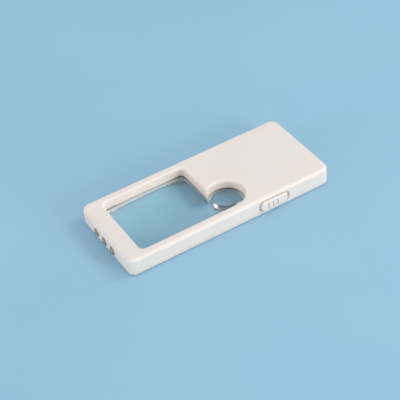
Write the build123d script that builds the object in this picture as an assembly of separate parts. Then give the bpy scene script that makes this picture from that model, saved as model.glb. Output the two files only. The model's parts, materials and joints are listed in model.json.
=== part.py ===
from build123d import *
import os

# Lighted pocket magnifier, flat and phone-shaped.  Millimetres.
# Origin: middle of the case's underside.  +X runs from the lamp end to the battery end,
# -Y is the long side that carries the slide switch, +Z is up.

# Case
CASE_LENGTH = 115.0
CASE_WIDTH = 50.0
CASE_HEIGHT = 10.0
CORNER_RADIUS = 4.3
TOP_EDGE_RADIUS = 1.7
BOTTOM_EDGE_RADIUS = 1.2
END_TOP_RADIUS = 2.6
END_BOTTOM_RADIUS = 2.0
WALL = 1.6
FLOOR = 1.5
CEILING_Z = CASE_HEIGHT - WALL
LIP_HEIGHT = 0.8
LIP_THICKNESS = 0.8
LIP_CLEARANCE = 0.1
OVERRUN = 1.0
TOUCHING = 0.01

# Window, measured where its inner wall meets the lens
WINDOW_X0, WINDOW_X1 = -47.9, -1.9
WINDOW_HALF_WIDTH = 19.9
WINDOW_CORNER = 2.6
WINDOW_DRAFT = 0.5
WINDOW_RIM_RADIUS = 1.0
LOBE_X, LOBE_Y, LOBE_RADIUS = 5.1, -10.4, 9.5
COLLAR = 1.4

# Lens
FLANGE_Z0, FLANGE_Z1 = 3.9, 5.3
FLANGE_OVERLAP = 1.2
LENS_GAP = 0.25
LENS_SPHERE = 225.0
LENS_TOP, LENS_BOTTOM = 6.6, 2.6
BUTTON_RADIUS = 7.8
BUTTON_EDGE_TOP, BUTTON_EDGE_BOTTOM = 5.7, 3.8
BUTTON_TOP_RISE, BUTTON_BOTTOM_RISE = 1.5, 1.2

# Lamps
LED_COUNT = 3
LED_PITCH = 8.0
LED_ROW_Y = 1.1
LED_Z = 4.2
LED_RADIUS = 2.4
LED_FLANGE_RADIUS = 2.65
LED_FLANGE = 0.8
LED_TIP_X = -58.5
LED_BACK_X = -50.2
LED_HOLE_RADIUS = 2.45
LEAD = 0.5
LEAD_SPACING = 2.54
LED_BOARD_THICKNESS = 0.8
LED_BOARD_Y0, LED_BOARD_Y1 = -11.0, 13.4
LED_BOARD_Z0, LED_BOARD_Z1 = 1.7, 7.8
LEAD_HOLE_RADIUS = 0.4
LEAD_START = 3.0
CUP_LENGTH, CUP_HALF = 1.4, 0.7

# Case screws
SCREW_X, SCREW_Y = 53.4, 20.9
BOSS_RADIUS = 2.7
LOWER_BOSS_RADIUS = 2.3
BOSS_JOINT_Z = 3.0
PILOT_RADIUS = 1.0
CLEARANCE_RADIUS = 1.15
HEAD_RADIUS = 1.8
HEAD_POCKET_RADIUS = 1.95
HEAD_HEIGHT = 1.0
HEAD_POCKET_DEPTH = 1.2
HEAD_INSET = 0.1
SHANK_RADIUS = 0.95
SCREW_LENGTH, DOOR_SCREW_LENGTH = 6.0, 4.0
CROSS_LENGTH, CROSS_WIDTH, CROSS_DEPTH = 2.2, 0.5, 0.6

# Slide switch
SWITCH_Z = 5.0
RECESS_X0, RECESS_LENGTH, RECESS_HEIGHT, RECESS_CORNER = 15.1, 17.8, 6.4, 2.6
RECESS_DEPTH = 1.1
KNOB_X0, KNOB_LENGTH, KNOB_HEIGHT, KNOB_CORNER = 15.9, 15.5, 5.6, 2.3
KNOB_PROUD = 0.9
KNOB_EDGE_RADIUS = 0.7
KNOB_TRAVEL = 1.4
SLIDE_GAP = 0.05
GROOVE_X0, GROOVE_PITCH, GROOVE_COUNT = 20.1, 2.65, 3
GROOVE_WIDTH, GROOVE_DEPTH, GROOVE_LENGTH, GROOVE_Z = 0.8, 0.7, 3.2, 4.6
STEM_LENGTH, STEM_HEIGHT = 4.0, 2.6
STEM_ROOT, STEM_END_Y = 0.5, -22.4
SLOT_END_GAP, SLOT_SIDE_GAP = 0.3, 0.2
NIB = 1.5
NIB_TIP_Y, NIB_ROOT_Y = -23.8, -20.5
NIB_SLOT_GAP = 0.1
SLIDER_HALF_LENGTH, SLIDER_HALF_HEIGHT, SLIDER_BACK_Y = 2.0, 1.3, -19.6
WIPER_FOOT_Y, WIPER_BRIDGE_Y = -19.5, -19.2
WIPER_FOOT, WIPER_BRIDGE = 1.6, 0.8
WIPER_SHEET, WIPER_WIDTH = 0.16, 1.2
CAN_X0, CAN_X1 = 20.4, 28.4
CAN_Y0, CAN_Y1 = -21.2, -17.6
CAN_Z0, CAN_Z1 = 3.4, 6.8
CAN_WALL = 0.3
BASE_FRONT_Y = -19.0
PIN_XS = (21.9, 24.4, 26.9)
PIN = 0.5
PIN_BOTTOM_Z = 2.0

# Switch board
BOARD_X0, BOARD_X1 = 17.0, 31.0
BOARD_Y0, BOARD_Y1 = -23.0, -10.0
BOARD_Z0, BOARD_Z1 = 2.4, 3.4
RIB_THICKNESS, RIB_END = 1.0, 1.0
RIB_YS = (-20.0, -12.0)
RESISTOR_X, RESISTOR_Y = 24.0, -13.0
RESISTOR_LENGTH, RESISTOR_WIDTH, RESISTOR_HEIGHT = 2.0, 1.2, 0.55

# Battery
CELL_X, CELL_Y = 38.0, 4.0
CELL_RADIUS, CELL_THICKNESS = 10.0, 2.5
CELL_Z0 = 1.6
CELL_STEP, CELL_STEP_INSET = 0.4, 1.2
BAY_RADIUS, BAY_WALL = 10.3, 1.2
BAY_TOP_Z = 6.6
BAY_GAP = 5.0
BOSS_BLOCK_OVERHANG, BOSS_BLOCK_HALF = 2.0, 2.5
BLOCK_STEP = 1.0
DOOR_X0, DOOR_X1 = 22.5, 49.5
DOOR_HALF_WIDTH = 11.0
DOOR_CLEARANCE = 0.15
DOOR_CORNER = 2.0
DOOR_SCREW_X = 24.9
TONGUE_Y, TONGUE_HALF, TONGUE_THICKNESS = 7.5, 1.5, 0.8
TONGUE_FOOT_IN, TONGUE_FOOT_OUT, TONGUE_FOOT_DEPTH = 1.3, 0.3, 0.5
TONGUE_ROOT, TONGUE_REACH, TONGUE_GAP = 0.6, 1.3, 0.1
GRIP_X0, GRIP_PITCH, GRIP_COUNT = 40.5, 1.6, 3
GRIP_WIDTH, GRIP_HALF_LENGTH, GRIP_DEPTH = 0.6, 4.0, 0.3

# Contacts
SHEET = 0.3
SPRING_WIDTH = 4.0
SPRING_TAB_GAP, SPRING_TAB_Z = 0.3, 5.8
SPRING_TOP_GAP, SPRING_TOUCH_GAP = 0.02, 0.03
SPRING_BEND_Y, SPRING_TOUCH_Y, SPRING_TIP_Y = 7.5, 2.6, 1.0
SPRING_TIP_RISE = 0.5
CONTACT_X0, CONTACT_X1, CONTACT_Y = 31.0, 43.0, -8.6
CONTACT_BEND, CONTACT_FLAT, CONTACT_GAP = 1.6, 0.7, 0.04
CONTACT_Z, CONTACT_WIDTH = 1.9, 2.0

# Wires
WIRE_RADIUS = 0.4
WIRE_BEND = 2.6
LOW_WIRE_Z, HIGH_WIRE_Z = 2.9, 6.5
CHANNEL_Y = 22.6
CHANNEL_X = -50.0
SHORT_WIRE_X, SHORT_WIRE_BEND = 27.0, 1.0

SWITCH_WALL_Y = -CASE_WIDTH / 2
INNER_WALL_Y = SWITCH_WALL_Y + WALL
RECESS_FLOOR_Y = SWITCH_WALL_Y + RECESS_DEPTH
KNOB_X = KNOB_X0 + KNOB_LENGTH / 2
SCREW_PLACES = [(sx * SCREW_X, sy * SCREW_Y) for sx in (-1, 1) for sy in (-1, 1)]
SPRING_TAB_Y = CELL_Y + BAY_RADIUS + BAY_WALL + SPRING_TAB_GAP
LED_YS = [LED_ROW_Y + (i - (LED_COUNT - 1) / 2) * LED_PITCH for i in range(LED_COUNT)]


def box(x0, x1, y0, y1, z0, z1):
    """A block between two corners."""
    place = Pos((x0 + x1) / 2, (y0 + y1) / 2, (z0 + z1) / 2)
    return place * Box(abs(x1 - x0), abs(y1 - y0), abs(z1 - z0))


def rod(x, y, z0, z1, radius):
    """An upright cylinder."""
    return Pos(x, y, (z0 + z1) / 2) * Cylinder(radius, z1 - z0)


def rod_along_x(x0, x1, y, z, radius):
    """A cylinder that lies along X."""
    return Pos((x0 + x1) / 2, y, z) * Rot(0, 90, 0) * Cylinder(radius, x1 - x0)


def slab(length, width, corner, z0, z1):
    """A plate with rounded corners, centred on the origin."""
    return extrude(Pos(0, 0, z0) * RectangleRounded(length, width, corner), z1 - z0)


def window_prism(grow, z0, z1):
    """The window and its lobe with straight walls, made larger by grow."""
    middle = (WINDOW_X0 + WINDOW_X1) / 2
    length = WINDOW_X1 - WINDOW_X0 + 2 * grow
    half = WINDOW_HALF_WIDTH + grow
    pane = Pos(middle, 0, z0) * RectangleRounded(length, 2 * half, WINDOW_CORNER + grow)
    lobe = Pos(LOBE_X, LOBE_Y, z0) * Circle(LOBE_RADIUS + grow)
    fill_place = Pos((middle + LOBE_X) / 2, (LOBE_Y - half) / 2, z0)
    fill = fill_place * Rectangle(LOBE_X - middle, LOBE_Y + half)
    return extrude(pane, z1 - z0) + extrude(lobe, z1 - z0) + extrude(fill, z1 - z0)


def window_funnel(z_small, z_large):
    """The window with drafted walls: smallest at the lens, widest at the outside face."""
    middle = (WINDOW_X0 + WINDOW_X1) / 2
    length = WINDOW_X1 - WINDOW_X0
    half = WINDOW_HALF_WIDTH
    fill_x = (middle + LOBE_X) / 2
    fill_length = LOBE_X - middle
    panes = []
    lobes = []
    fills = []
    for z, grow in ((z_small, 0.0), (z_large, WINDOW_DRAFT)):
        size = (length + 2 * grow, 2 * (half + grow))
        panes.append(Pos(middle, 0, z) * RectangleRounded(*size, WINDOW_CORNER + grow))
        lobes.append(Pos(LOBE_X, LOBE_Y, z) * Circle(LOBE_RADIUS + grow))
        front = -half - grow
        fills.append(Pos(fill_x, (LOBE_Y + front) / 2, z) * Rectangle(fill_length, LOBE_Y - front))
    return loft(panes) + loft(lobes) + loft(fills)


def end_profile():
    """The case's side outline, rounder at the lamp end, as a block right across its width."""
    side = Plane.XZ * Pos(0, CASE_HEIGHT / 2) * Rectangle(CASE_LENGTH, CASE_HEIGHT)
    block = Pos(0, CASE_WIDTH, 0) * extrude(side, 2 * CASE_WIDTH)
    lower_edge = block.edges().filter_by(Axis.Y).group_by(Axis.X)[0].sort_by(Axis.Z)[0]
    block = fillet(lower_edge, END_BOTTOM_RADIUS)
    upper_edges = block.edges().filter_by(Axis.Y).group_by(Axis.Z)[-1]
    return fillet(upper_edges.sort_by(Axis.X)[0], END_TOP_RADIUS)


def led_bores(radius):
    """The row of lamp holes through the lamp end."""
    bores = [rod_along_x(-CASE_LENGTH / 2 - OVERRUN, LED_BACK_X, y, LED_Z, radius) for y in LED_YS]
    return bores[0] + bores[1] + bores[2]


def pill(x0, length, height, corner, y0, y1):
    """A plate with well-rounded corners that stands in the XZ plane."""
    face = Plane.XZ * Pos(x0 + length / 2, SWITCH_Z) * RectangleRounded(length, height, corner)
    return Pos(0, y1, 0) * extrude(face, y1 - y0)


def top_shell():
    """Upper case half: top face, side walls, upper lens collar and the screw bosses."""
    outside = slab(CASE_LENGTH, CASE_WIDTH, CORNER_RADIUS, FLOOR, CASE_HEIGHT)
    outside = fillet(outside.edges().group_by(Axis.Z)[-1], TOP_EDGE_RADIUS) & end_profile()
    inner_size = (CASE_LENGTH - 2 * WALL, CASE_WIDTH - 2 * WALL)
    shell = outside - slab(*inner_size, CORNER_RADIUS - WALL, FLOOR - OVERRUN, CEILING_Z)
    inside_ceiling = CEILING_Z + WALL / 2
    shell = shell + window_prism(COLLAR, FLANGE_Z1, inside_ceiling)
    for x, y in SCREW_PLACES:
        shell = shell + (rod(x, y, BOSS_JOINT_Z, inside_ceiling, BOSS_RADIUS) & outside)
    for x, y in SCREW_PLACES:
        shell = shell - rod(x, y, BOSS_JOINT_Z - OVERRUN, CEILING_Z - WALL / 2, PILOT_RADIUS)
    shell = shell - window_funnel(FLANGE_Z1, CASE_HEIGHT)
    shell = fillet(window_mouth(shell, CASE_HEIGHT), WINDOW_RIM_RADIUS)
    shell = shell - led_bores(LED_HOLE_RADIUS)
    recess_y0 = SWITCH_WALL_Y - OVERRUN
    recess_size = (RECESS_LENGTH, RECESS_HEIGHT, RECESS_CORNER)
    shell = shell - pill(RECESS_X0, *recess_size, recess_y0, RECESS_FLOOR_Y)
    slot_x0 = KNOB_X - STEM_LENGTH / 2 - SLOT_END_GAP
    slot_x1 = KNOB_X + STEM_LENGTH / 2 + KNOB_TRAVEL + SLOT_END_GAP
    slot_z0 = SWITCH_Z - STEM_HEIGHT / 2 - SLOT_SIDE_GAP
    slot_z1 = SWITCH_Z + STEM_HEIGHT / 2 + SLOT_SIDE_GAP
    slot_ys = (RECESS_FLOOR_Y - OVERRUN, INNER_WALL_Y + OVERRUN)
    return shell - box(slot_x0, slot_x1, *slot_ys, slot_z0, slot_z1)


def window_mouth(shape, z):
    """Edges of the window where it opens in the flat face at height z."""
    flat = [f for f in shape.faces() if abs(f.center().Z - z) < TOUCHING]
    face = max(flat, key=lambda f: f.area)
    return face.inner_wires().sort_by(lambda w: -w.length)[0].edges()


def bottom_shell():
    """Lower case half: floor, locating lip, lower lens collar, battery bay and board ribs."""
    shell = slab(CASE_LENGTH, CASE_WIDTH, CORNER_RADIUS, 0, FLOOR)
    shell = fillet(shell.edges().group_by(Axis.Z)[0], BOTTOM_EDGE_RADIUS) & end_profile()
    shell = shell + locating_lip() + window_prism(COLLAR, FLOOR, FLANGE_Z0)
    for x, y in SCREW_PLACES:
        shell = shell + rod(x, y, FLOOR, BOSS_JOINT_Z, LOWER_BOSS_RADIUS)
    shell = shell - window_funnel(FLANGE_Z0, 0)
    shell = fillet(window_mouth(shell, 0), WINDOW_RIM_RADIUS)
    shell = shell - led_bores(LED_HOLE_RADIUS)
    for x, y in SCREW_PLACES:
        shell = shell - rod(x, y, -OVERRUN, BOSS_JOINT_Z + OVERRUN, CLEARANCE_RADIUS)
        shell = shell - rod(x, y, -OVERRUN, HEAD_POCKET_DEPTH, HEAD_POCKET_RADIUS)
    return add_battery_bay(shell) + board_ribs()


def locating_lip():
    """The low wall on the lower half that centres it inside the upper half."""
    gap = WALL + LIP_CLEARANCE
    hollow_gap = gap + LIP_THICKNESS
    outer_size = (CASE_LENGTH - 2 * gap, CASE_WIDTH - 2 * gap)
    inner_size = (CASE_LENGTH - 2 * hollow_gap, CASE_WIDTH - 2 * hollow_gap)
    lip = slab(*outer_size, CORNER_RADIUS - gap, FLOOR, FLOOR + LIP_HEIGHT)
    return lip - slab(*inner_size, CORNER_RADIUS - hollow_gap, FLOOR, FLOOR + OVERRUN)


def add_battery_bay(shell):
    """Door opening, round cell wall and the block that takes the door's screw."""
    shell = shell - door_outline(0.0, -OVERRUN, FLOOR + LIP_HEIGHT + OVERRUN)
    wall = rod(CELL_X, CELL_Y, FLOOR, BAY_TOP_Z, BAY_RADIUS + BAY_WALL)
    block_xs = (DOOR_X0 - BOSS_BLOCK_OVERHANG, CELL_X - BAY_RADIUS)
    block_ys = (CELL_Y - BOSS_BLOCK_HALF, CELL_Y + BOSS_BLOCK_HALF)
    bay = wall + box(*block_xs, *block_ys, FLOOR, BAY_TOP_Z - BLOCK_STEP)
    bay = bay - rod(CELL_X, CELL_Y, FLOOR - OVERRUN, BAY_TOP_Z + OVERRUN, BAY_RADIUS)
    gap_xs = (CELL_X - BAY_GAP / 2, CELL_X + BAY_GAP / 2)
    gap_ys = (CELL_Y - 2 * BAY_RADIUS, CELL_Y - BAY_RADIUS / 2)
    bay = bay - box(*gap_xs, *gap_ys, FLOOR, BAY_TOP_Z + OVERRUN)
    pilot_top = BAY_TOP_Z - 2 * BLOCK_STEP
    return shell + (bay - rod(DOOR_SCREW_X, CELL_Y, FLOOR - OVERRUN, pilot_top, PILOT_RADIUS))


def board_ribs():
    """Two ribs that the switch board rests on."""
    half = RIB_THICKNESS / 2
    rib_xs = (BOARD_X0 + RIB_END, BOARD_X1 - RIB_END)
    ribs = [box(*rib_xs, y - half, y + half, FLOOR, BOARD_Z0) for y in RIB_YS]
    return ribs[0] + ribs[1]


def door_outline(inset, z0, z1):
    """The battery door's plan shape, made smaller by inset."""
    length = DOOR_X1 - DOOR_X0 - 2 * inset
    width = 2 * (DOOR_HALF_WIDTH - inset)
    face = Pos((DOOR_X0 + DOOR_X1) / 2, CELL_Y, z0) * RectangleRounded(length, width, DOOR_CORNER)
    return extrude(face, z1 - z0)


def battery_door():
    """Flush door with two tongues at one end and a screw hole at the other."""
    door = door_outline(DOOR_CLEARANCE, 0, FLOOR)
    tongue_z0 = FLOOR + TONGUE_GAP
    tongue_z1 = tongue_z0 + TONGUE_THICKNESS
    for side in (-1, 1):
        y0 = CELL_Y + side * TONGUE_Y - TONGUE_HALF
        y1 = y0 + 2 * TONGUE_HALF
        foot_xs = (DOOR_X1 - TONGUE_FOOT_IN, DOOR_X1 - TONGUE_FOOT_OUT)
        door = door + box(*foot_xs, y0, y1, FLOOR - TONGUE_FOOT_DEPTH, tongue_z1)
        door = door + box(DOOR_X1 - TONGUE_ROOT, DOOR_X1 + TONGUE_REACH, y0, y1, tongue_z0, tongue_z1)
    door = door - rod(DOOR_SCREW_X, CELL_Y, -OVERRUN, FLOOR + OVERRUN, CLEARANCE_RADIUS)
    door = door - rod(DOOR_SCREW_X, CELL_Y, -OVERRUN, HEAD_INSET + HEAD_HEIGHT, HEAD_POCKET_RADIUS)
    for i in range(GRIP_COUNT):
        x = GRIP_X0 + i * GRIP_PITCH
        grip_ys = (CELL_Y - GRIP_HALF_LENGTH, CELL_Y + GRIP_HALF_LENGTH)
        door = door - box(x, x + GRIP_WIDTH, *grip_ys, -OVERRUN, GRIP_DEPTH)
    return door


def screw(x, y, length):
    """A pan-head cross-recess screw, driven upwards from the underside."""
    z0 = HEAD_INSET
    body = rod(x, y, z0, z0 + HEAD_HEIGHT, HEAD_RADIUS) + rod(x, y, z0, z0 + length, SHANK_RADIUS)
    half = CROSS_LENGTH / 2
    thin = CROSS_WIDTH / 2
    body = body - box(x - half, x + half, y - thin, y + thin, z0 - OVERRUN, z0 + CROSS_DEPTH)
    return body - box(x - thin, x + thin, y - half, y + half, z0 - OVERRUN, z0 + CROSS_DEPTH)


def cap_radius(edge_radius, rise):
    """Radius of the sphere whose cap has this edge radius and this rise."""
    return (edge_radius**2 + rise**2) / (2 * rise)


def lens():
    """One moulding: flange, large shallow lens and the small strong lens in the lobe."""
    centre_x = (WINDOW_X0 + WINDOW_X1) / 2
    length = WINDOW_X1 - WINDOW_X0 - 2 * LENS_GAP
    width = 2 * (WINDOW_HALF_WIDTH - LENS_GAP)
    block = Pos(centre_x, 0, 0) * slab(length, width, WINDOW_CORNER - LENS_GAP, 0, CASE_HEIGHT)
    upper = Pos(centre_x, 0, LENS_TOP - LENS_SPHERE) * Sphere(LENS_SPHERE)
    lower = Pos(centre_x, 0, LENS_BOTTOM + LENS_SPHERE) * Sphere(LENS_SPHERE)
    main = block & upper & lower
    small = rod(LOBE_X, LOBE_Y, 0, CASE_HEIGHT, BUTTON_RADIUS)
    upper_radius = cap_radius(BUTTON_RADIUS, BUTTON_TOP_RISE)
    upper_z = BUTTON_EDGE_TOP + BUTTON_TOP_RISE - upper_radius
    small = small & (Pos(LOBE_X, LOBE_Y, upper_z) * Sphere(upper_radius))
    lower_radius = cap_radius(BUTTON_RADIUS, BUTTON_BOTTOM_RISE)
    lower_z = BUTTON_EDGE_BOTTOM - BUTTON_BOTTOM_RISE + lower_radius
    small = small & (Pos(LOBE_X, LOBE_Y, lower_z) * Sphere(lower_radius))
    return window_prism(FLANGE_OVERLAP, FLANGE_Z0, FLANGE_Z1) + main + small


def lead(y, x0, x1):
    """One square lead along X."""
    half = LEAD / 2
    return box(x0, x1, y - half, y + half, LED_Z - half, LED_Z + half)


def lead_frame(y):
    """Both leads of one lamp, with the reflector cup on one of them."""
    front = LED_TIP_X + LEAD_START
    back = LED_BACK_X + LED_BOARD_THICKNESS
    near_y = y - LEAD_SPACING / 2
    cup = box(front, front + CUP_LENGTH, near_y, y + CUP_HALF, LED_Z - CUP_HALF, LED_Z + CUP_HALF)
    return (lead(near_y, front, back) + cup) + lead(near_y + LEAD_SPACING, front, back)


def led_body(y):
    """Clear 4.8 mm lamp body: rim, barrel and round nose."""
    nose = LED_TIP_X + LED_RADIUS
    body = rod_along_x(nose, LED_BACK_X, y, LED_Z, LED_RADIUS)
    body = body + Pos(nose, y, LED_Z) * Sphere(LED_RADIUS)
    body = body + rod_along_x(LED_BACK_X - LED_FLANGE, LED_BACK_X, y, LED_Z, LED_FLANGE_RADIUS)
    return body - lead_frame(y)


def led_board():
    """The narrow board that joins the lamps' leads."""
    x1 = LED_BACK_X + LED_BOARD_THICKNESS
    board = box(LED_BACK_X, x1, LED_BOARD_Y0, LED_BOARD_Y1, LED_BOARD_Z0, LED_BOARD_Z1)
    for lamp_y in LED_YS:
        for y in (lamp_y - LEAD_SPACING / 2, lamp_y + LEAD_SPACING / 2):
            board = board - rod_along_x(LED_BACK_X - OVERRUN, x1 + OVERRUN, y, LED_Z, LEAD_HOLE_RADIUS)
    return board


def switch_board():
    """The board under the slide switch, with a hole for each pin."""
    board = box(BOARD_X0, BOARD_X1, BOARD_Y0, BOARD_Y1, BOARD_Z0, BOARD_Z1)
    for x in PIN_XS:
        board = board - rod(x, CAN_Y1 + PIN / 2, BOARD_Z0 - OVERRUN, BOARD_Z1 + OVERRUN, LEAD_HOLE_RADIUS)
    return board


def resistor():
    """The chip resistor that limits the lamp current."""
    place = Pos(RESISTOR_X, RESISTOR_Y, BOARD_Z1 + RESISTOR_HEIGHT / 2)
    return place * Box(RESISTOR_LENGTH, RESISTOR_WIDTH, RESISTOR_HEIGHT)


def square_rod(y0, y1, half):
    """A square bar along Y at the middle of the switch."""
    return box(KNOB_X - half, KNOB_X + half, y0, y1, SWITCH_Z - half, SWITCH_Z + half)


def slide_knob():
    """Pill-shaped thumb piece with grip grooves and the stem that drives the switch."""
    inner_y = RECESS_FLOOR_Y - SLIDE_GAP
    outer_y = SWITCH_WALL_Y - KNOB_PROUD
    knob = pill(KNOB_X0, KNOB_LENGTH, KNOB_HEIGHT, KNOB_CORNER, outer_y, inner_y)
    knob = fillet(knob.edges().group_by(Axis.Y)[0], KNOB_EDGE_RADIUS)
    groove_ys = (outer_y - OVERRUN, outer_y + GROOVE_DEPTH)
    groove_zs = (GROOVE_Z - GROOVE_LENGTH / 2, GROOVE_Z + GROOVE_LENGTH / 2)
    for i in range(GROOVE_COUNT):
        x = GROOVE_X0 + i * GROOVE_PITCH
        knob = knob - box(x - GROOVE_WIDTH / 2, x + GROOVE_WIDTH / 2, *groove_ys, *groove_zs)
    stem_place = Pos(KNOB_X, (inner_y - STEM_ROOT + STEM_END_Y) / 2, SWITCH_Z)
    knob = knob + stem_place * Box(STEM_LENGTH, STEM_END_Y - inner_y + STEM_ROOT, STEM_HEIGHT)
    return knob - square_rod(NIB_TIP_Y - SLIDE_GAP, STEM_END_Y + OVERRUN, NIB / 2 + SLIDE_GAP)


def switch_actuator():
    """The switch's own slider: a nib in the knob's stem and a block inside the can."""
    nib = square_rod(NIB_TIP_Y, NIB_ROOT_Y, NIB / 2)
    front_y = CAN_Y0 + CAN_WALL + SLIDE_GAP
    place = Pos(KNOB_X, (front_y + SLIDER_BACK_Y) / 2, SWITCH_Z)
    return nib + place * Box(2 * SLIDER_HALF_LENGTH, SLIDER_BACK_Y - front_y, 2 * SLIDER_HALF_HEIGHT)


def switch_wiper():
    """The springy bridge that the slider pushes over the pins."""
    left = (KNOB_X - WIPER_FOOT, WIPER_FOOT_Y)
    right = (KNOB_X + WIPER_FOOT, WIPER_FOOT_Y)
    bridge = [(KNOB_X - WIPER_BRIDGE, WIPER_BRIDGE_Y), (KNOB_X + WIPER_BRIDGE, WIPER_BRIDGE_Y)]
    strip = trace(Polyline(left, *bridge, right), WIPER_SHEET)
    return extrude(Pos(0, 0, SWITCH_Z - WIPER_WIDTH / 2) * strip, WIPER_WIDTH)


def switch_can():
    """Folded metal can, open at the back, with a slot for the nib."""
    can = box(CAN_X0, CAN_X1, CAN_Y0, CAN_Y1, CAN_Z0, CAN_Z1)
    w = CAN_WALL
    can = can - box(CAN_X0 + w, CAN_X1 - w, CAN_Y0 + w, CAN_Y1 + OVERRUN, CAN_Z0 + w, CAN_Z1 - w)
    half = NIB / 2 + NIB_SLOT_GAP
    slot = square_rod(CAN_Y0 - OVERRUN, CAN_Y0 + OVERRUN, half)
    return can - slot - Pos(KNOB_TRAVEL, 0, 0) * slot


def switch_pins():
    """Three bent pins from the back of the switch down through the board."""
    pins = []
    half = PIN / 2
    for x in PIN_XS:
        top = SWITCH_Z + half
        flat = box(x - half, x + half, BASE_FRONT_Y, CAN_Y1 + PIN, SWITCH_Z - half, top)
        pins.append(flat + box(x - half, x + half, CAN_Y1, CAN_Y1 + PIN, PIN_BOTTOM_Z, top))
    return pins


def switch_base():
    """The moulded back of the switch that holds the pins."""
    w = CAN_WALL
    base = box(CAN_X0 + w, CAN_X1 - w, BASE_FRONT_Y, CAN_Y1, CAN_Z0 + w, CAN_Z1 - w)
    for pin in switch_pins():
        base = base - pin
    return base


def coin_cell(z0):
    """A coin cell: stepped can with a slightly smaller raised pole face."""
    step_z = z0 + CELL_THICKNESS - CELL_STEP
    can = rod(CELL_X, CELL_Y, z0, step_z, CELL_RADIUS)
    return can + rod(CELL_X, CELL_Y, step_z, z0 + CELL_THICKNESS, CELL_RADIUS - CELL_STEP_INSET)


def negative_spring():
    """Leaf spring that presses on the inner cell, with a solder tab outside the bay wall."""
    top = CEILING_Z - SHEET / 2 - SPRING_TOP_GAP
    touch = CELL_Z0 + 2 * CELL_THICKNESS + SHEET / 2 + SPRING_TOUCH_GAP
    points = [(SPRING_TAB_Y, SPRING_TAB_Z), (SPRING_TAB_Y, top), (SPRING_BEND_Y, top)]
    points += [(SPRING_TOUCH_Y, touch), (SPRING_TIP_Y, touch + SPRING_TIP_RISE)]
    strip = Plane.YZ * trace(Polyline(*points), SHEET)
    return Pos(CELL_X - SPRING_WIDTH / 2, 0, 0) * extrude(strip, SPRING_WIDTH)


def positive_contact():
    """Bent strip that touches the outer cell's rim through the gap in the bay wall."""
    touch = CELL_Y - CELL_RADIUS - SHEET / 2 - CONTACT_GAP
    points = [(CONTACT_X0, CONTACT_Y), (CELL_X - CONTACT_BEND, CONTACT_Y)]
    points += [(CELL_X - CONTACT_FLAT, touch), (CELL_X + CONTACT_FLAT, touch)]
    points += [(CELL_X + CONTACT_BEND, CONTACT_Y), (CONTACT_X1, CONTACT_Y)]
    return extrude(Pos(0, 0, CONTACT_Z) * trace(Polyline(*points), SHEET), CONTACT_WIDTH)


def wire(points, radius_of_bends):
    """A round wire along straight runs joined by arcs."""
    path = FilletPolyline(*points, radius=radius_of_bends)
    return sweep(Plane(path @ 0, z_dir=path % 0) * Circle(WIRE_RADIUS), path)


def red_wire():
    """From the switch board to the lamp board, along the front channel."""
    points = [(BOARD_X0, -CHANNEL_Y, LOW_WIRE_Z), (CHANNEL_X, -CHANNEL_Y, LOW_WIRE_Z)]
    points.append((CHANNEL_X, LED_BOARD_Y0, LOW_WIRE_Z))
    return wire(points, WIRE_BEND)


def black_wire():
    """From the lamp board to the battery's spring, along the back channel."""
    points = [(CHANNEL_X, LED_BOARD_Y1, HIGH_WIRE_Z), (CHANNEL_X, CHANNEL_Y, HIGH_WIRE_Z)]
    points.append((CELL_X, CHANNEL_Y, HIGH_WIRE_Z))
    points.append((CELL_X, SPRING_TAB_Y + SHEET / 2, HIGH_WIRE_Z))
    return wire(points, WIRE_BEND)


def battery_wire():
    """From the battery's side contact to the switch board."""
    points = [(CONTACT_X0, CONTACT_Y, LOW_WIRE_Z), (SHORT_WIRE_X, CONTACT_Y, LOW_WIRE_Z)]
    points.append((SHORT_WIRE_X, BOARD_Y1, LOW_WIRE_Z))
    return wire(points, SHORT_WIRE_BEND)


def save(name, shape):
    """Write one node; a list of solids becomes one group."""
    solids = []
    for item in shape if isinstance(shape, list) else [shape]:
        solids.extend(item.solids())
    node = solids[0] if len(solids) == 1 else Compound(children=solids)
    node.label = name
    export_step(node, f"parts/{name}.step")


os.makedirs("parts", exist_ok=True)
save("top_shell", top_shell())
save("bottom_shell", bottom_shell())
save("battery_door", battery_door())
save("case_screws", [screw(x, y, SCREW_LENGTH) for x, y in SCREW_PLACES])
save("door_screw", screw(DOOR_SCREW_X, CELL_Y, DOOR_SCREW_LENGTH))
save("lens", lens())
for number, led_y in enumerate(LED_YS, start=1):
    save(f"led_{number}", led_body(led_y))
    save(f"led_leads_{number}", lead_frame(led_y))
save("led_board", led_board())
save("switch_board", switch_board())
save("resistor", resistor())
save("slide_knob", slide_knob())
save("switch_actuator", switch_actuator())
save("switch_wiper", switch_wiper())
save("switch_can", switch_can())
save("switch_base", switch_base())
save("switch_pins", switch_pins())
save("coin_cell_outer", coin_cell(CELL_Z0))
save("coin_cell_inner", coin_cell(CELL_Z0 + CELL_THICKNESS))
save("negative_spring", negative_spring())
save("positive_contact", positive_contact())
save("red_wire", red_wire())
save("black_wire", black_wire())
save("battery_wire", battery_wire())
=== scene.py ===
import json
import math

import bpy
from mathutils import Matrix, Vector

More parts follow.
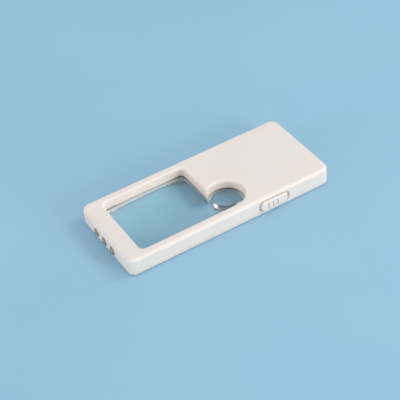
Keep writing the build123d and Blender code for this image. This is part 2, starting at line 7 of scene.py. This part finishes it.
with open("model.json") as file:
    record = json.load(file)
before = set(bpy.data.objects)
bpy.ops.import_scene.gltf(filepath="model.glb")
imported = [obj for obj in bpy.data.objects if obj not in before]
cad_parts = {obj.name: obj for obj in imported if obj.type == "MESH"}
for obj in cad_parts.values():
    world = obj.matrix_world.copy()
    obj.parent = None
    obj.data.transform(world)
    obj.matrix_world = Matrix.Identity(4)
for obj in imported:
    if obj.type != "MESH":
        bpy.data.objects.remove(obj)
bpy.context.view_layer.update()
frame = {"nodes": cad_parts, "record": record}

# Camera: a long lens that looks down over the lamp end, slightly rolled ---------------------------
CAMERA_AZIMUTH = math.radians(-27.2)
CAMERA_ELEVATION = math.radians(41.0)
CAMERA_ROLL = math.radians(-6.57)
CAMERA_DISTANCE = 0.6204
CAMERA_TARGET = Vector((-0.0023, 0.0032, 0.0))
CAMERA_NEAR = 0.01
SENSOR_MM = 36.0
FOCAL_MM = 111.42

# Lights -------------------------------------------------------------------------------------------
LIGHT_DISTANCE = 1.5
KEY_DIRECTION = (0.67, -0.20, 0.68)
KEY_SIZE = 0.5
KEY_POWER = 4.5
KEY_TINT = (1.0, 0.96, 0.89)
CARD_DIRECTION = (0.35, -0.92, 0.26)
CARD_SIZE = 0.6
CARD_POWER = 9.0
CARD_TINT = (1.0, 0.94, 0.80)
SIDE_CARD_DIRECTION = (-0.95, 0.12, 0.14)
SIDE_CARD_SIZE = 0.35
SIDE_CARD_POWER = 5.8
SIDE_CARD_TINT = (1.0, 0.86, 0.72)
SURROUND_COLOUR = (0.95, 0.985, 1.0, 1.0)
SURROUND_STRENGTH = 0.74

# Floor --------------------------------------------------------------------------------------------
FLOOR_HALF = 4.0
FLOOR_DROP = 0.0001
FLOOR_BLUE_LOW = (0.318, 0.545, 0.722, 1)
FLOOR_BLUE_HIGH = (0.338, 0.565, 0.742, 1)

# Bump heights -------------------------------------------------------------------------------------
FINE_RELIEF = 0.00002
BROAD_RELIEF = 0.00005
LENS_RELIEF = 0.0001

# The middle stretch of a noise texture's values, where most of them lie ---------------------------
NOISE_LOW = 0.3
NOISE_HIGH = 0.7

# Colours ------------------------------------------------------------------------------------------
CASE_WHITE_LOW = (0.840, 0.755, 0.720, 1)
CASE_WHITE_HIGH = (0.865, 0.780, 0.745, 1)
CASE_GLOW_DEPTH = 0.003
CASE_GLOW_COLOUR = (1.0, 0.92, 0.88)
LENS_CLEAR_LOW = (0.92, 0.99, 1.0, 1)
LENS_CLEAR_HIGH = (0.96, 1.0, 1.0, 1)
LENS_COATING = (0.26, 0.34, 0.40, 1)
EPOXY_LOW = (0.50, 0.42, 0.33, 1)
EPOXY_HIGH = (0.66, 0.57, 0.46, 1)
STEEL_LOW = (0.45, 0.45, 0.44, 1)
STEEL_HIGH = (0.62, 0.62, 0.60, 1)
TIN_LOW = (0.50, 0.48, 0.44, 1)
TIN_HIGH = (0.66, 0.64, 0.60, 1)
BRASS_LOW = (0.55, 0.44, 0.24, 1)
BRASS_HIGH = (0.72, 0.60, 0.36, 1)
MASK_GREEN_LOW = (0.012, 0.11, 0.045, 1)
MASK_GREEN_HIGH = (0.02, 0.17, 0.07, 1)
BLACK_LOW = (0.012, 0.012, 0.013, 1)
BLACK_HIGH = (0.03, 0.03, 0.032, 1)
RED_LOW = (0.36, 0.010, 0.008, 1)
RED_HIGH = (0.48, 0.02, 0.015, 1)
WIRE_BLACK_LOW = (0.01, 0.01, 0.01, 1)
WIRE_BLACK_HIGH = (0.02, 0.02, 0.02, 1)

# Brushing directions: the noise is squeezed across the strokes ------------------------------------
BRUSHED_ALONG_X = (1, 8, 8)
BRUSHED_ALONG_Y = (8, 1, 8)


# Node helpers -------------------------------------------------------------------------------------
class Nodes:
    """A material's node tree, with short calls for the nodes that the materials share."""

    def __init__(self, name):
        self.material = bpy.data.materials.new(name)
        self.material.use_nodes = True
        self.tree = self.material.node_tree
        self.shader = self.tree.nodes["Principled BSDF"]
        self.place = self.tree.nodes.new("ShaderNodeTexCoord").outputs["Object"]

    def set(self, **values):
        """Constant values on the shader's own sockets."""
        for name, value in values.items():
            self.shader.inputs[name.replace("_", " ")].default_value = value

    def link(self, source, target):
        """Join an output to an input, or to the shader's input of that name."""
        if isinstance(target, str):
            target = self.shader.inputs[target]
        self.tree.links.new(source, target)

    def noise(self, scale, detail=3.0, stretch=None):
        """Noise in the object's own metres, scale in cycles per metre."""
        node = self.tree.nodes.new("ShaderNodeTexNoise")
        node.inputs["Scale"].default_value = scale
        node.inputs["Detail"].default_value = detail
        source = self.place
        if stretch:
            mapping = self.tree.nodes.new("ShaderNodeMapping")
            mapping.inputs["Scale"].default_value = stretch
            self.link(self.place, mapping.inputs["Vector"])
            source = mapping.outputs["Vector"]
        self.link(source, node.inputs["Vector"])
        return node.outputs["Fac"]

    def ramp(self, factor, low, high):
        """A blend between two colours."""
        node = self.tree.nodes.new("ShaderNodeValToRGB")
        first, last = node.color_ramp.elements
        first.position = NOISE_LOW
        first.color = low
        last.position = NOISE_HIGH
        last.color = high
        self.link(factor, node.inputs["Fac"])
        return node.outputs["Color"]

    def spread(self, factor, low, high):
        """A number that runs from low to high with factor."""
        node = self.tree.nodes.new("ShaderNodeMapRange")
        node.inputs["From Min"].default_value = NOISE_LOW
        node.inputs["From Max"].default_value = NOISE_HIGH
        node.inputs["To Min"].default_value = low
        node.inputs["To Max"].default_value = high
        self.link(factor, node.inputs["Value"])
        return node.outputs["Result"]

    def bump(self, height, strength, distance, under=None):
        """A relief from height, laid over another relief where there is one."""
        node = self.tree.nodes.new("ShaderNodeBump")
        node.inputs["Strength"].default_value = strength
        node.inputs["Distance"].default_value = distance
        self.link(height, node.inputs["Height"])
        if under:
            self.link(under, node.inputs["Normal"])
        return node.outputs["Normal"]


# Materials ----------------------------------------------------------------------------------------
def white_plastic(name):
    """Spark-textured satin ABS in a warm white, with a faint mottle and a little glow."""
    n = Nodes(name)
    mottle = n.noise(60.0, detail=4.0)
    n.link(n.ramp(mottle, CASE_WHITE_LOW, CASE_WHITE_HIGH), "Base Color")
    n.link(n.spread(n.noise(900.0, detail=2.0), 0.38, 0.50), "Roughness")
    grain = n.bump(n.noise(5200.0, detail=2.0), 0.25, FINE_RELIEF)
    waviness = n.bump(n.noise(240.0, detail=2.0), 0.10, BROAD_RELIEF, under=grain)
    n.link(waviness, "Normal")
    n.set(Subsurface_Weight=0.25)
    n.set(Subsurface_Scale=CASE_GLOW_DEPTH)
    n.set(Subsurface_Radius=CASE_GLOW_COLOUR)
    return n.material


def acrylic(name):
    """Polished clear acrylic, coated against glare, with slight ripples and handling haze."""
    n = Nodes(name)
    n.set(Transmission_Weight=1.0, IOR=1.49)
    n.set(Specular_IOR_Level=0.2, Specular_Tint=LENS_COATING)
    n.link(n.ramp(n.noise(35.0), LENS_CLEAR_LOW, LENS_CLEAR_HIGH), "Base Color")
    n.link(n.spread(n.noise(160.0, detail=5.0), 0.005, 0.03), "Roughness")
    n.link(n.bump(n.noise(70.0, detail=1.0), 0.015, LENS_RELIEF), "Normal")
    return n.material


def lamp_epoxy(name):
    """Epoxy, slightly smoky and cloudy, as an unlit lamp looks in its hole."""
    n = Nodes(name)
    n.set(Transmission_Weight=0.55, IOR=1.52)
    n.link(n.ramp(n.noise(500.0), EPOXY_LOW, EPOXY_HIGH), "Base Color")
    n.link(n.spread(n.noise(1500.0), 0.10, 0.24), "Roughness")
    return n.material


def metal(name, low, high, rough_low, rough_high, stretch=None):
    """Bare or plated metal with fine brushing and patchy dulling."""
    n = Nodes(name)
    n.set(Metallic=1.0)
    n.link(n.ramp(n.noise(300.0, detail=4.0), low, high), "Base Color")
    brushed = n.noise(2500.0, stretch=stretch)
    n.link(n.spread(brushed, rough_low, rough_high), "Roughness")
    n.link(n.bump(brushed, 0.2, FINE_RELIEF), "Normal")
    return n.material


def moulded(name, low, high, rough_low, rough_high):
    """Small moulded or insulated pieces with a faint grain."""
    n = Nodes(name)
    n.link(n.ramp(n.noise(400.0, detail=4.0), low, high), "Base Color")
    n.link(n.spread(n.noise(1100.0), rough_low, rough_high), "Roughness")
    n.link(n.bump(n.noise(2500.0, detail=2.0), 0.2, FINE_RELIEF), "Normal")
    return n.material


def board_green(name):
    """Solder mask over a fibreglass weave."""
    n = Nodes(name)
    weave = n.tree.nodes.new("ShaderNodeTexWave")
    weave.inputs["Scale"].default_value = 900.0
    n.link(n.place, weave.inputs["Vector"])
    n.link(n.ramp(n.noise(250.0), MASK_GREEN_LOW, MASK_GREEN_HIGH), "Base Color")
    n.link(n.spread(n.noise(700.0), 0.25, 0.4), "Roughness")
    n.link(n.bump(weave.outputs["Fac"], 0.15, FINE_RELIEF), "Normal")
    return n.material


def floor_sheet(name):
    """Matt painted board with a very faint mottle."""
    n = Nodes(name)
    n.link(n.ramp(n.noise(9.0), FLOOR_BLUE_LOW, FLOOR_BLUE_HIGH), "Base Color")
    n.link(n.spread(n.noise(400.0), 0.75, 0.85), "Roughness")
    n.link(n.bump(n.noise(1500.0), 0.1, BROAD_RELIEF), "Normal")
    n.set(Specular_IOR_Level=0.2)
    return n.material


def finishes():
    """One material for each of the record's slots."""
    looks = {
        "case_white": (white_plastic,),
        "lens_acrylic": (acrylic,),
        "led_epoxy": (lamp_epoxy,),
        "tinned_lead": (metal, TIN_LOW, TIN_HIGH, 0.25, 0.45),
        "circuit_board": (board_green,),
        "black_plastic": (moulded, BLACK_LOW, BLACK_HIGH, 0.3, 0.5),
        "sheet_metal": (metal, STEEL_LOW, STEEL_HIGH, 0.3, 0.5, BRUSHED_ALONG_X),
        "cell_steel": (metal, STEEL_LOW, STEEL_HIGH, 0.2, 0.35, BRUSHED_ALONG_Y),
        "spring_metal": (metal, BRASS_LOW, BRASS_HIGH, 0.25, 0.4),
        "screw_steel": (metal, STEEL_LOW, STEEL_HIGH, 0.25, 0.45),
        "red_insulation": (moulded, RED_LOW, RED_HIGH, 0.25, 0.4),
        "black_insulation": (moulded, WIRE_BLACK_LOW, WIRE_BLACK_HIGH, 0.25, 0.4),
    }
    return {slot: maker(slot, *values) for slot, (maker, *values) in looks.items()}


def dress_nodes():
    """Give every CAD node the material of its slot."""
    made = finishes()
    for part in frame["record"]["subparts"]:
        piece = frame["nodes"][part["node"]]
        piece.data.materials.clear()
        piece.data.materials.append(made[part["material_slot"]])
    # The renderer doesn't focus light, so the clear lens is kept from shading the floor under it.
    frame["nodes"]["lens"].visible_shadow = False


# Stage --------------------------------------------------------------------------------------------
def floor():
    """A plain pale blue sheet, much wider than the object, a hair below its underside."""
    half = FLOOR_HALF
    mesh = bpy.data.meshes.new("floor")
    outline = [(-half, -half), (half, -half), (half, half), (-half, half)]
    corners = [(x, y, -FLOOR_DROP) for x, y in outline]
    mesh.from_pydata(corners, [], [(0, 1, 2, 3)])
    mesh.materials.append(floor_sheet("floor_blue"))
    sheet = bpy.data.objects.new("floor", mesh)
    bpy.context.scene.collection.objects.link(sheet)


def softbox(name, direction, size, power, tint):
    """A round area light that looks at the object's middle from a direction."""
    light = bpy.data.lights.new(name, "AREA")
    light.shape = "DISK"
    light.size = size
    light.energy = power
    light.color = tint
    lamp = bpy.data.objects.new(name, light)
    towards = Vector(direction).normalized()
    lamp.location = towards * LIGHT_DISTANCE
    lamp.rotation_euler = towards.to_track_quat("Z", "Y").to_euler()
    bpy.context.scene.collection.objects.link(lamp)


def lights():
    """A soft key from the right, low cards at the front and the left, and an even surround."""
    softbox("key", KEY_DIRECTION, KEY_SIZE, KEY_POWER, KEY_TINT)
    softbox("card", CARD_DIRECTION, CARD_SIZE, CARD_POWER, CARD_TINT)
    softbox("side_card", SIDE_CARD_DIRECTION, SIDE_CARD_SIZE, SIDE_CARD_POWER, SIDE_CARD_TINT)
    world = bpy.data.worlds.new("studio")
    world.use_nodes = True
    background = world.node_tree.nodes["Background"]
    background.inputs["Color"].default_value = SURROUND_COLOUR
    background.inputs["Strength"].default_value = SURROUND_STRENGTH
    bpy.context.scene.world = world


def camera():
    """Look at the target from the camera's direction, then roll about the line of sight."""
    flat = math.cos(CAMERA_ELEVATION)
    back = Vector((
        math.sin(CAMERA_AZIMUTH) * flat,
        -math.cos(CAMERA_AZIMUTH) * flat,
        math.sin(CAMERA_ELEVATION),
    ))
    level_right = (-back).cross(Vector((0, 0, 1))).normalized()
    level_up = level_right.cross(-back)
    right = math.cos(CAMERA_ROLL) * level_right + math.sin(CAMERA_ROLL) * level_up
    up = -math.sin(CAMERA_ROLL) * level_right + math.cos(CAMERA_ROLL) * level_up
    lens = bpy.data.cameras.new("camera")
    lens.sensor_width = SENSOR_MM
    lens.lens = FOCAL_MM
    lens.clip_start = CAMERA_NEAR
    viewer = bpy.data.objects.new("camera", lens)
    turn = Matrix((right, up, back)).transposed().to_4x4()
    viewer.matrix_world = Matrix.Translation(CAMERA_TARGET + back * CAMERA_DISTANCE) @ turn
    bpy.context.scene.collection.objects.link(viewer)
    bpy.context.scene.camera = viewer


dress_nodes()
floor()
lights()
camera()
bpy.context.scene.view_settings.view_transform = "Standard"
